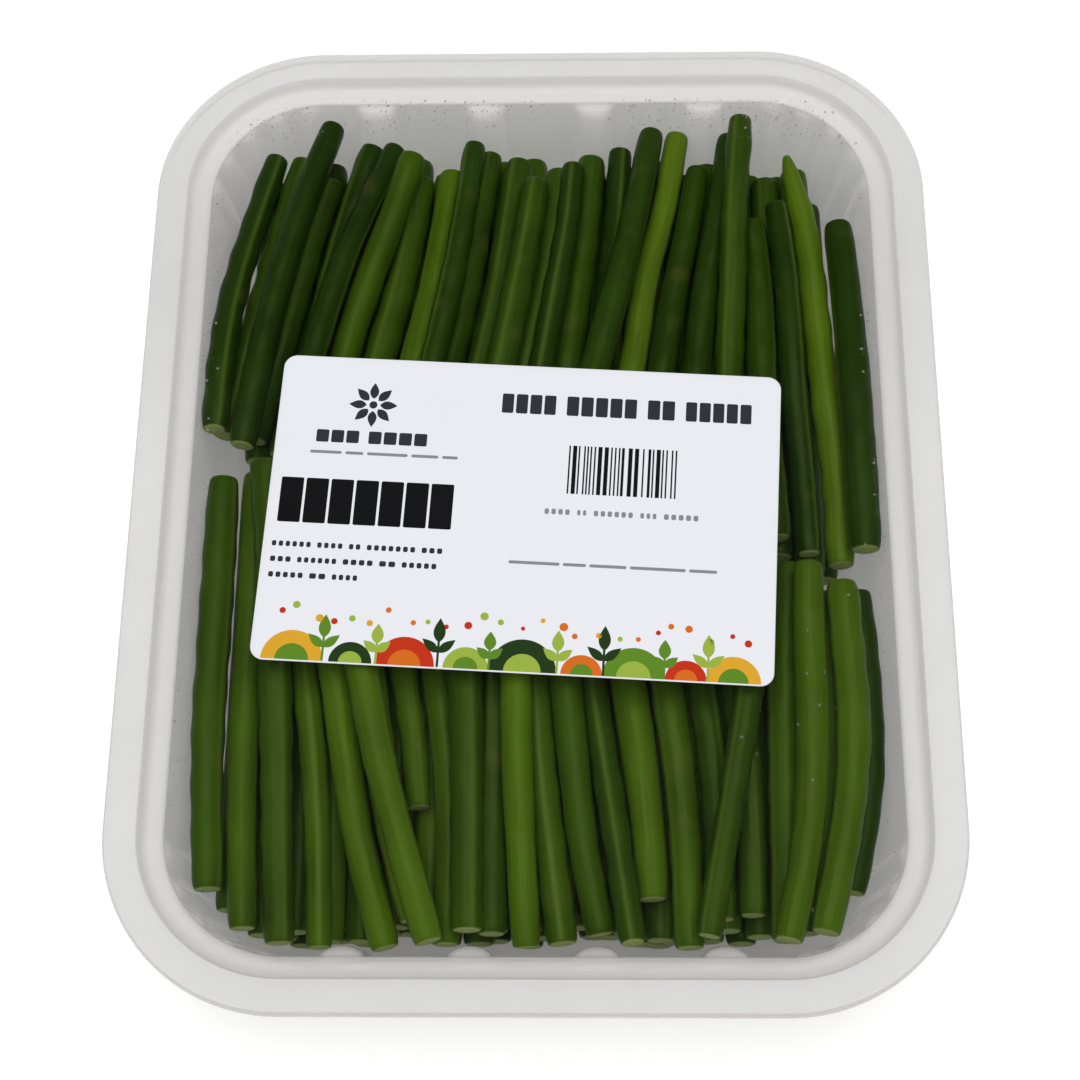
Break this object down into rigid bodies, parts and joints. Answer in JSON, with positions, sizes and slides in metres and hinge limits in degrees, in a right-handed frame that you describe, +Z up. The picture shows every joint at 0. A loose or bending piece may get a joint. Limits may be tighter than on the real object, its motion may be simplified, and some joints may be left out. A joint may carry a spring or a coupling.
{
  "type": "tray of green beans",
  "caption": "Bunch of fine green beans in two rows, held in a milky sealed tray with a clear film lid and a paper label.",
  "frame": {"origin": "middle of the surface that the tray stands on", "axes": "+Z up through the film, +Y along the beans and the tray's long side, +X across the tray to the right as the label is seen"},
  "size_m": [0.178, 0.227, 0.0407],
  "materials": {
    "tray_plastic": "satin",
    "clear_film": "gloss",
    "label_paper": "satin",
    "bean_skin": "satin"
  },
  "bodies": {
    "root": {"tray": "tray_plastic", "film": "clear_film", "label": "label_paper", "bed_far_1": "bean_skin", "bed_far_2": "bean_skin", "bed_far_3": "bean_skin", "bed_near_1": "bean_skin", "bed_near_2": "bean_skin", "bed_near_3": "bean_skin", "bean_far_01": "bean_skin", "bean_far_02": "bean_skin", "bean_far_03": "bean_skin", "bean_far_04": "bean_skin", "bean_far_05": "bean_skin", "bean_far_06": "bean_skin", "bean_far_07": "bean_skin", "bean_far_08": "bean_skin", "bean_far_09": "bean_skin", "bean_far_10": "bean_skin", "bean_far_11": "bean_skin", "bean_far_12": "bean_skin", "bean_far_13": "bean_skin", "bean_far_14": "bean_skin", "bean_far_15": "bean_skin", "bean_far_16": "bean_skin", "bean_far_17": "bean_skin", "bean_far_18": "bean_skin", "bean_far_19": "bean_skin", "bean_far_20": "bean_skin", "bean_far_21": "bean_skin", "bean_far_22": "bean_skin", "bean_far_23": "bean_skin", "bean_far_24": "bean_skin", "bean_far_25": "bean_skin", "bean_far_26": "bean_skin", "bean_near_01": "bean_skin", "bean_near_02": "bean_skin", "bean_near_03": "bean_skin", "bean_near_04": "bean_skin", "bean_near_05": "bean_skin", "bean_near_06": "bean_skin", "bean_near_07": "bean_skin", "bean_near_08": "bean_skin", "bean_near_09": "bean_skin", "bean_near_10": "bean_skin", "bean_near_11": "bean_skin", "bean_near_12": "bean_skin", "bean_near_13": "bean_skin", "bean_near_14": "bean_skin", "bean_near_15": "bean_skin", "bean_near_16": "bean_skin", "bean_near_17": "bean_skin", "bean_near_18": "bean_skin", "bean_near_19": "bean_skin", "bean_near_20": "bean_skin", "bean_near_21": "bean_skin", "bean_near_22": "bean_skin", "bean_near_23": "bean_skin", "bean_near_24": "bean_skin", "bean_near_25": "bean_skin"}
  },
  "joints": []
}
